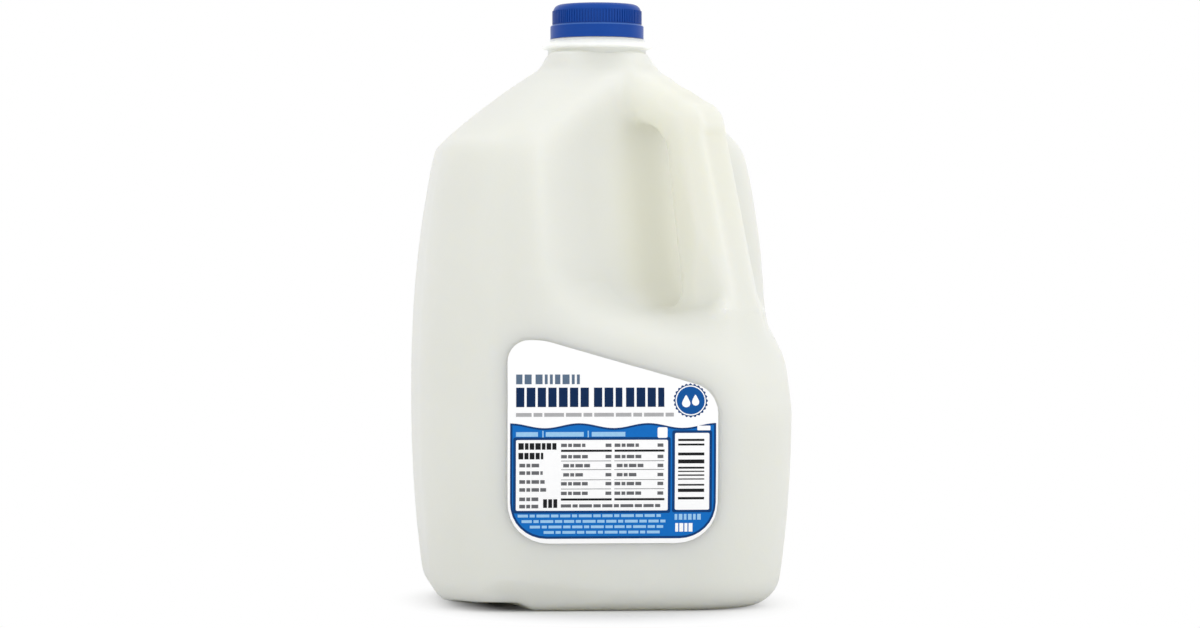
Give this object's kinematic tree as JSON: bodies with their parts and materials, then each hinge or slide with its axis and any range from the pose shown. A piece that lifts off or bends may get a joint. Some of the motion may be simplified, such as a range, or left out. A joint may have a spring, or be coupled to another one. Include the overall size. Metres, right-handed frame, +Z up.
{
  "type": "plastic milk jug",
  "caption": "Shut, full milk jug of blow-moulded plastic: square body, domed shoulder, short neck with a ring, moulded-in corner handle, ribbed blue cap and a stuck-on label.",
  "frame": {"origin": "middle of the foot, on the neck's axis, at the level of the surface it stands on", "axes": "+Z up along the neck; +X towards the handle, at one corner of the square body; the mould's parting plane is y = 0; the label is on the wall that faces +X and -Y"},
  "size_m": [0.195, 0.195, 0.2553],
  "materials": {
    "jug_plastic": "natural blow-moulded polyethylene, translucent, with white milk behind it",
    "cap_plastic": "satin royal-blue injection-moulded polyethylene",
    "label_film": "smooth printed film, white above and blue below"
  },
  "bodies": {
    "root": {"jug": "jug_plastic", "cap": "cap_plastic", "label": "label_film"}
  },
  "joints": []
}
